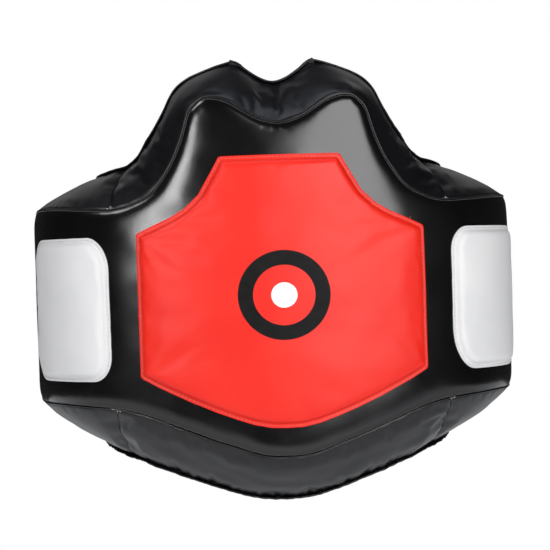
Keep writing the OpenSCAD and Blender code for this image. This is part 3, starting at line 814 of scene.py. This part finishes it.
def build_tabs():
    """The folded ends of the binding at the two shoulder peaks."""
    path, out, ahead = edge_frame(0)
    for name, sign in (("left_peak_tab", -1), ("right_peak_tab", 1)):
        k = int(np.argmin(np.linalg.norm(EDGE[:, 2:] - (sign * 47, 228), axis=1)))
        along = unit(path[(k + 1) % len(path)] - path[k - 1])
        steps = np.linspace(-6.5, 6.5, 14)
        lean = 0.16 * steps * sign
        height = 2.2 - 0.1 * np.abs(steps - 2 * sign) + 0.1 * np.sin(steps)
        rings = []
        for u, h, tilt in zip(steps, height, lean):
            profile = np.array([(-5, 4.9), (-1, 5.6), (h * 0.7, 4.6), (h, 2.2), (h, 1.0), (h * 0.7, -1.4),
                                (-1, -2.8), (-5, -2.6), (-5, 0)])
            centre = path[k] + along * u
            rings.append(centre + profile[:, :1] * out[k] + (profile[:, 1:] + tilt) * ahead[k])
        obj = make_piece(name, np.vstack(rings), tube_faces(len(rings), len(rings[0])), GUSSET_BLACK)
        soften = obj.modifiers.new("soften", "BEVEL")
        soften.width, soften.segments, soften.limit_method = 0.0005, 2, "ANGLE"
        finish_piece(obj)


build_face()
build_lining()
build_gussets()
build_piping()
build_binding()
target = build_panel("target_panel", "target", target_outline(), RED, RED_THREAD, "red_leather", 20)
for name, sign, seed in (("right_side_panel", 1, 30), ("left_side_panel", -1, 40)):
    build_panel(name, name, side_outline(sign), WHITE, WHITE_THREAD, "white_leather", seed)
build_print(target)
build_seam_threads()
build_tabs()

# ---- Webbing ----

class Place:
    """A buckle's own frame: x along the strap, y across it, z away from the wearer."""

    def __init__(self, origin, x, y, flip=False):
        self.origin, self.x, self.y, self.z = np.asarray(origin, float), x, y, np.array([0.0, 1.0, 0.0])
        if flip:
            m = np.array([-1, 1, 1])
            self.origin, self.x, self.y = self.origin * m, self.x * m, self.y * m

    def at(self, points):
        p = np.asarray(points, float)
        return self.origin + p[:, :1] * self.x + p[:, 1:2] * self.y + p[:, 2:] * self.z

    def middle(self, flat):
        """Points on the strap's middle line from rows of (x, z)."""
        return self.at(coords(flat[:, 0], 0, flat[:, 1]))


CROSSING = np.array([0, SHOULDER_Y, CROSS_Z])
BUCKLES = {
    "waist": Place((WAIST_X, WAIST_Y, WAIST_Z), np.array([1.0, 0, 0]), -UP),
    "right": Place(CROSSING + CROSS_RUN * SLOPE_V, -SLOPE_V, SLOPE_W),
    "left": Place(CROSSING + CROSS_RUN * SLOPE_V + (0, CROSS_STEP, 0), -SLOPE_V, SLOPE_W, flip=True),
}


def strap_path(rows):
    """Smooth centres and width directions from rows of a point in mm and a direction."""
    both = smooth_path([np.hstack(row) for row in rows], 8)
    return both[:, :3], unit(both[:, 3:])


def wrap_round_bar(bar_x, way, leg):
    """Centre line in a buckle's x and z of webbing that turns back round its bar and continues."""
    a = np.radians(np.linspace(-90, 90, 13)[1:-1])
    arc = coords(bar_x - way * RUN_OFF * np.cos(a), RUN_OFF * np.sin(a))
    return np.vstack([arc, (bar_x, 0) + np.array(leg, float) * (way, 1)])


def ribbon(name, centres, widths, seed, ease=0.35):
    """Webbing along a line of centres: thick selvedges, rounded edges and a little natural unevenness."""
    way = unit(np.gradient(centres, axis=0))
    widths = unit(widths - np.sum(widths * way, axis=1, keepdims=True) * way)
    normal = np.cross(way, widths)
    run = run_along(centres)
    u = np.array([-1, -0.985, -0.93, -0.86, -0.6, -0.3, 0, 0.3, 0.6, 0.86, 0.93, 0.985, 1]) * STRAP_W / 2
    half = np.array([0.25, 0.42, 0.5, 0.44, 0.43, 0.44, 0.44, 0.44, 0.43, 0.44, 0.5, 0.42, 0.25]) * STRAP_T
    ring_u = np.concatenate([u, u[::-1]])
    ring_h = np.concatenate([half, -half[::-1]])
    fade = clamp(np.minimum(run, run[-1] - run) / 25)[:, None]
    lift = ease * ripple(coords(run[:, None], ring_u, 0), (38, 30, 1), seed) * fade
    sway = 0.4 * ripple(coords(run, 0, 0), 55, seed + 1) * fade[:, 0]
    points = (centres[:, None] + widths[:, None] * (ring_u[None, :, None] + sway[:, None, None])
              + normal[:, None] * (ring_h[None, :, None] + lift[..., None]))
    n, m = points.shape[:2]
    faces = [(a, d, c, b) for a, b, c, d in grid_faces(n, m, round_columns=True)]
    end = [np.array([j, j + 1, m - 2 - j, m - 1 - j]) for j in range(m // 2 - 1)]
    faces += end + [(quad + (n - 1) * m)[::-1] for quad in end]
    uv = coords(ring_u, run[:, None])
    return make_piece(name, points.reshape(-1, 3), faces, WEBBING, uv=uv.reshape(-1, 2))


def wing_sewn(z):
    """The sewn end of a strap on the wing's lining, as rows of a point and the width's direction."""
    return [(place(g, SEWN_D - off, z), UP) for g, off in ((358, 0), (378, 0.1), (398, 0.9))]


def join_buckle(obj, name, where):
    """Webbing that follows the pad, in place of the CAD node of the same name, which is hidden."""
    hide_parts(name)
    start, finish = where.at([(80, 0, -RUN_OFF), (34, 0, -RUN_OFF)])
    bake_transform(obj)


def build_shoulder_strap(name, mirror, lift, buckle):
    """Sewn at the bib, over the shoulder, and down across the back to its buckle."""
    side = place(BIB_G + 0.5, 0, 0) - place(BIB_G - 0.5, 0, 0)
    side = unit(np.array([side[0], -side[1], 0.0]))
    across = np.array([1.0, 0, 0])
    y = SHOULDER_Y - RUN_OFF + lift
    end = CROSS_RUN - MALE_BAR_X + 0.2
    rows = [(place(-BIB_G, SEWN_D - STRAP_SAG, z), side) for z in (102, 126, 146)]
    rows += [((-48, 15, 171), side), ((-48, 40, 187), across), ((-50, 90, 192), across),
             ((-56, 140, 188), across), ((-63, 188, 176), across),
             ((-64, y - 16, 160), unit(across * 0.6 + SLOPE_W * 0.4))]
    rows += [(np.array([0, y, CROSS_Z]) + s * SLOPE_V, SLOPE_W) for s in (-62, -42, 0, 50, 100, end)]
    centres, widths = strap_path(rows)
    if mirror:
        centres, widths = centres * (-1, 1, 1), widths * (-1, 1, 1)
    join_buckle(ribbon(name, centres, widths, 51 + mirror), name, BUCKLES[buckle])


def sew_round_bar(name, where, centres, widths, across, leg, box, seed):
    """Webbing that turns round a female half's bar and is sewn down on itself along its leg."""
    flat = wrap_round_bar(FEMALE_BAR_X, -1, leg)
    centres = np.vstack([centres, where.middle(flat)])
    widths = np.vstack([widths, np.repeat([across], len(flat), axis=0)])
    finish_piece(ribbon(name, centres, widths, seed, ease=0.2), name, slot="webbing")
    box_stitch(f"{name}_stitching", where, FEMALE_BAR_X - box[0], FEMALE_BAR_X - box[1], -0.45)


def build_wing_strap(name, buckle, mirror, lift):
    """From the wing to the bar of a shoulder buckle's female half, and sewn back on itself."""
    y = SHOULDER_Y - RUN_OFF + lift
    crossing = np.array([0, y, CROSS_Z])
    rows = wing_sewn(WING_STRAP_Z)
    rows += [((185.4, 182, WING_STRAP_Z), UP), ((185, 205, WING_STRAP_Z + 1), unit(UP + 0.1 * SLOPE_W)),
             ((180, 224, WING_STRAP_Z + 4), unit(UP + SLOPE_W))]
    rows += [(crossing + (CROSS_RUN - FEMALE_BAR_X + s) * SLOPE_V, SLOPE_W) for s in (7, 0)]
    centres, widths = strap_path(rows)
    m = (-1, 1, 1) if mirror else (1, 1, 1)
    leg = [(0, RUN_OFF), (2.4, 3.0), (9.6, -1.25), (16, -1.3)]
    sew_round_bar(name, BUCKLES[buckle], centres * m, widths * m, SLOPE_W * m, leg, (11, 15.5),
                  55 + mirror)


def build_waist_strap(name, mirror, finish_x):
    """From the wing to its buckle half: the right half runs to the male one, the left is sewn."""
    run_y = WAIST_Y - RUN_OFF
    run = ((185.4, 182), (184.5, 205), (174, 230), (152, 243),
           (125, run_y), (90, run_y), (finish_x, run_y))
    centres, widths = strap_path(wing_sewn(WAIST_Z) + [((x, y, WAIST_Z), UP) for x, y in run])
    where = BUCKLES["waist"]
    if not mirror:
        join_buckle(ribbon(name, centres, widths, 58), name, where)
        return
    m = (-1, 1, 1)
    leg = [(0, RUN_OFF), (3, 3.1), (14, 1.2), (26.4, -1.2), (44, -1.3)]
    sew_round_bar(name, where, centres * m, widths * m, UP, leg, (27, 42), 60)


def build_tail(name, body, where):
    """The free end behind a buckle: round the bar, out level inside the keeper, heat-cut at its tip."""
    flat = wrap_round_bar(MALE_BAR_X, 1, [(x, RUN_OFF) for x in (0, 12, TAIL_L / 2, TAIL_L)])
    flat = np.vstack([[(MALE_BAR_X + 0.3, -RUN_OFF)], flat])
    flat = np.vstack([flat[:14], smooth_path(flat[13:], 8)[1:]])
    obj = ribbon(name, where.middle(flat), np.repeat([where.y], len(flat), axis=0), 62, ease=0.0)
    finish_piece(obj, name, slot="webbing", body=body)


def box_stitch(name, where, x0, x1, z):
    """Thread sewn in a box with a cross in it, on webbing in a buckle's frame."""
    y = STRAP_W / 2 - 3.5
    corners = [(x0, -y), (x0, y), (x1, y), (x1, -y), (x0, -y), (x1, y), (x1, -y), (x0, y)]
    flat = np.vstack([resample(np.array([a, b]), 1.0)[:-1] for a, b in zip(corners, corners[1:])])
    up = np.repeat([where.z], len(flat), axis=0)
    obj = stitch_line(name, where.at(coords(*flat.T, z)), up, BLACK_THREAD, 2.4, 3.0, 0.3)
    finish_piece(obj, slot="webbing")


def build_keeper(name, body, where):
    """Loop of ribbed elastic round the strap and its tail."""
    x0, x1 = 72, 90
    half_w, half_t, r, wall = STRAP_W / 2 + 0.3, 4.3, 2.6, 1.2
    corner = []
    for cy, cz, start in ((1, 1, 0), (-1, 1, 90), (-1, -1, 180), (1, -1, 270)):
        for a in np.radians(start + np.linspace(0, 90, 7)):
            corner.append((cy * (half_w + wall - r) + r * math.cos(a),
                           cz * (half_t + wall - r) + r * math.sin(a)))
    loop = resample(np.array(corner), 1.1, closed=True)
    n = outward(loop[::-1])[::-1]
    rows = np.linspace(x0, x1, 19)
    bulge = 0.35 * np.sin(np.linspace(0, math.pi, 19)) + 0.1 * np.cos(np.arange(19) * math.pi)
    outer = loop[None] + n[None] * bulge[:, None, None]
    inner = loop - n * wall
    m = len(loop)
    shell = [where.at(coords(x, *ring.T)) for x, ring in zip(rows, outer)]
    shell += [where.at(coords(x, *inner.T)) for x in (x1 - 0.2, (x0 + x1) / 2, x0 + 0.2)]
    faces = grid_faces(len(shell), m, round_columns=True, round_rows=True)
    uv = [coords(x, np.arange(m) * 1.1) for x in (*rows, x1, (x0 + x1) / 2, x0)]
    obj = make_piece(name, np.vstack(shell), faces, ELASTIC, uv=np.vstack(uv))
    finish_piece(obj, name, slot="elastic", body=body)


# ---- Patches ----

def build_patch(name, half, position, cover, middle, faces_away, *replaced):
    """Sewn leather patch, a rounded rectangle of (u, v) with the given half sizes. position maps u, v
    and height to space, and cover gives the height of the webbing under it. The patch looks away from
    the middle point or towards it."""
    corner = 5
    outline = []
    for su, sv, turn in ((1, 1, 0), (1, -1, -90), (-1, -1, -180), (-1, 1, -270)):
        for a in np.radians(np.linspace(90, 0, 6)) + math.radians(turn):
            outline.append((su * (half[0] - corner) + corner * math.cos(a),
                            sv * (half[1] - corner) + corner * math.sin(a)))
    outline = np.array(outline)
    flat, faces, away = fill_outline(outline, (1.0, 2.0, 3.0, 4.0, 5.5), 3)
    groove = -0.35 * bell(away - 3, 0.7) + 0.35 * (1 - np.exp(-away / 1.0))
    height = cover(*flat.T) + SKIN_T + groove + 0.15 * ripple(coords(*flat.T, 0), 9, 70)
    obj = make_piece(name, position(*flat.T, height), faces, BLACK, uv=flat)
    centre = Vector(middle) * MM
    total = sum(p.normal.dot(p.center - centre) * p.area for p in obj.data.polygons)
    if (total < 0) == faces_away:
        obj.data.flip_normals()
    finish_piece(thicken(obj, SKIN_T), *replaced)
    loop = resample(outline, 1.0, closed=True)
    loop = np.vstack([loop, loop[:1]]) * (1 - 3.0 / np.array(half))
    height = cover(*loop.T) + SKIN_T - 0.1
    path = position(*loop.T, height)
    up = unit(position(*loop.T, height + 1) - path)
    line = stitch_line(f"{name}_stitching", path, up, BLACK_THREAD, 2.6, 3.3, 0.32)
    finish_piece(line)


def rise(distance, half, height, slope=4.0):
    """Height of a patch over a strap half wide, from the distance to the strap's middle line."""
    t = clamp((half + slope - np.abs(distance)) / slope)
    return height * t * t * (3 - 2 * t)


def bib_cover(u, v):
    inside = clamp((v + 18 + 4) / 4)
    return 0.35 + rise(u, STRAP_W / 2, STRAP_SAG + STRAP_T + 0.25) * inside


def wing_cover(u, v):
    inside = clamp((u + 10 + 4) / 4)
    return 0.35 + (rise(v + 36, STRAP_W / 2, 2.3) + rise(v - 36, STRAP_W / 2, 2.3)) * inside


def build_patches():
    """Over the sewn ends of the straps, and on both sides of the shoulder straps' crossing."""
    for side, sign in (("right", 1), ("left", -1)):
        for kind, half, girth, z, cover in (("bib", (27, 24), BIB_G, 120, bib_cover),
                                            ("wing", (18, 62), 368, -44, wing_cover)):
            def on_lining(u, v, h):
                return place(sign * (girth + u), -h, z + v)

            name = f"{side}_{kind}_patch"
            build_patch(name, half, on_lining, cover, (0, 140, 0), False, name)
    middle = SHOULDER_Y - RUN_OFF + CROSS_STEP / 2
    root = math.sqrt(0.5)

    def back_cover(u, v):
        x, z = (u + v) * root, (v - u) * root
        over = [rise(z * math.cos(CROSS_SLOPE) + s * x * math.sin(CROSS_SLOPE), STRAP_W / 2, 1, 10)
                for s in (1, -1)]
        return 0.15 + (CROSS_STEP / 2 + STRAP_T / 2 + 0.15) * np.maximum(*over)

    for name, way, replaced in (("cross_patch_inner", -1, ()),
                                ("cross_patch_outer", 1, ("cross_patch",))):
        def on_back(u, v, h):
            return coords((u + v) * root, middle + way * h, CROSS_Z + (v - u) * root)

        build_patch(name, (29, 29), on_back, back_cover, (0, middle, CROSS_Z), True, *replaced)


def dress_cad_nodes():
    """Finishes for the CAD nodes that stay: foam inside the pad, and the moulded buckles."""
    foams = {
        "strike_foam": foam("dense_foam", (0.03, 0.03, 0.035), (0.05, 0.05, 0.055), 0.8),
        "core_foam": foam("core_foam", (0.30, 0.36, 0.42), (0.38, 0.44, 0.50), 1.4),
        "body_foam": foam("soft_foam", (0.62, 0.55, 0.34), (0.72, 0.64, 0.42), 1.2),
    }
    for name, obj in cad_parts.items():
        moulded = "buckle" in name or "latch" in name
        if moulded:
            obj.modifiers.new("weld", "WELD").merge_threshold = 0.00001
            bevel = obj.modifiers.new("bevel", "BEVEL")
            bevel.width, bevel.segments = 0.0006, 3
            bevel.limit_method, bevel.angle_limit = "ANGLE", math.radians(35)
            bevel.harden_normals = False
            obj.modifiers.new("smooth", "WEIGHTED_NORMAL").keep_sharp = True
        elif name not in foams:
            continue
        material = BUCKLE if moulded else foams[name]
        for slot in obj.material_slots:
            slot.material = material
        if not obj.material_slots:
            obj.data.materials.append(material)


build_shoulder_strap("left_shoulder_strap", False, 0, "right")
build_shoulder_strap("right_shoulder_strap", True, CROSS_STEP, "left")
build_wing_strap("right_wing_strap", "right", False, 0)
build_wing_strap("left_wing_strap", "left", True, CROSS_STEP)
build_waist_strap("waist_strap_right", False, WAIST_X + MALE_BAR_X - 0.2)
build_waist_strap("waist_strap_left", True, -WAIST_X - FEMALE_BAR_X)
for side in ("waist", "left", "right"):
    build_tail(f"{side}_strap_tail", f"{side}_male_half", BUCKLES[side])
    build_keeper(f"{side}_keeper", f"{side}_strap_keeper", BUCKLES[side])
build_patches()
dress_cad_nodes()

# ---- Studio ----

def softbox(name, azimuth, height, distance, size, radiance, colour=(1, 1, 1), aim=(0, 0.02, 0)):
    """A soft rectangular light, placed by its bearing from the pad's front, positive to the pad's +X."""
    a = math.radians(azimuth)
    where = Vector((distance * math.sin(a), -distance * math.cos(a), height))
    data = bpy.data.lights.new(name, "AREA")
    data.shape = "RECTANGLE"
    data.size, data.size_y = size
    data.energy = radiance * math.pi * size[0] * size[1]
    data.color = colour
    lamp = bpy.data.objects.new(name, data)
    lamp.location = where
    lamp.rotation_mode = "QUATERNION"
    lamp.rotation_quaternion = (Vector(aim) - where).to_track_quat("-Z", "Y")
    lamp.visible_camera = False
    bpy.context.scene.collection.objects.link(lamp)


def build_studio():
    """White behind the pad, but in reflections dim above and paler below, as over a white floor. The
    front lights leave the middle of the black leather dark. The one close behind the pad stays inside
    its outline, so that its edges don't shine from the front."""
    world = bpy.data.worlds.new("studio")
    world.use_nodes = True
    tree = world.node_tree
    background = tree.nodes["Background"]
    seen = node(tree, "ShaderNodeLightPath", {}).outputs["Is Camera Ray"]
    up = node(tree, "ShaderNodeSeparateXYZ", {"Vector": coordinates(tree, "Generated")}).outputs["Z"]
    room = map_range(tree, up, -0.8, -0.05, 0.1, 0.02)
    level = calculate(tree, "MAXIMUM", room, seen)
    set_inputs(tree, background, {"Color": (1, 1, 1, 1), "Strength": level})
    bpy.context.scene.world = world
    softbox("right_key", 25.5, 0.5, 2.1, (1.3, 1.45), 5.4, aim=(0, 0.02, 0.3))
    softbox("left_key", -38, 0.27, 2.1, (0.5, 0.46), 14, aim=(0, 0.02, 0.2))
    softbox("left_fill", -65, 1.9, 1.9, (0.9, 0.9), 8)
    softbox("top", 0, 2.2, 0.1, (2.2, 0.9), 1.7, (0.86, 0.9, 1.0))
    softbox("rear_high", 180, 1.25, 2.3, (2.4, 1.3), 0.4)
    softbox("rear_fill", 180, -0.05, 0.7, (0.46, 0.28), 4.5)


def build_floor():
    """A wide pale floor well under the pad, which is shown at the height that it is worn. The floor glows
    as if it were a lamp, dim near the pad and brighter further out: painted light.
    """
    half, z = 3.4, -0.9
    mesh = bpy.data.meshes.new("floor")
    corners = [(-half, -half, z), (half, -half, z), (half, half, z), (-half, half, z)]
    mesh.from_pydata(corners, [], [(0, 1, 2, 3)])
    mat, tree, shader = new_material("pale_floor_painted_glow")
    away = node(tree, "ShaderNodeVectorMath", {0: coordinates(tree)}, operation="LENGTH").outputs["Value"]
    # painted light: the floor's emission grows with distance from the pad, dim under it and bright far out
    painted_glow = spread(tree, map_range(tree, away, 1.2, 2.6, 0, 1), 0.24, 0.62)
    set_inputs(tree, shader, {"Base Color": (0.8, 0.8, 0.8, 1), "Roughness": 0.8,
                              "Emission Color": (0.95, 0.97, 1, 1), "Emission Strength": painted_glow})
    mesh.materials.append(mat)
    floor = bpy.data.objects.new("floor", mesh)
    bpy.context.scene.collection.objects.link(floor)


def build_camera():
    """A long lens a little to the pad's -X side, leaning with the horizon of the product shot."""
    data = bpy.data.cameras.new("camera")
    data.sensor_width = 36
    distance, view_width = 2.4, 0.605
    data.lens = data.sensor_width * distance / view_width
    camera = bpy.data.objects.new("camera", data)
    aim = Vector((0.0, 0.08, 0.0015))
    side, lift, roll = math.radians(-3), math.radians(0.4), math.radians(-1.9)
    back = Vector((math.sin(side) * math.cos(lift), -math.cos(side) * math.cos(lift), math.sin(lift)))
    camera.location = aim + back * distance
    look = (-back).to_track_quat("-Z", "Y").to_matrix().to_4x4()
    camera.matrix_world = Matrix.Translation(camera.location) @ look @ Matrix.Rotation(roll, 4, "Z")
    bpy.context.scene.collection.objects.link(camera)
    bpy.context.scene.camera = camera


build_studio()
build_floor()
build_camera()
bpy.context.scene.view_settings.view_transform = "Standard"
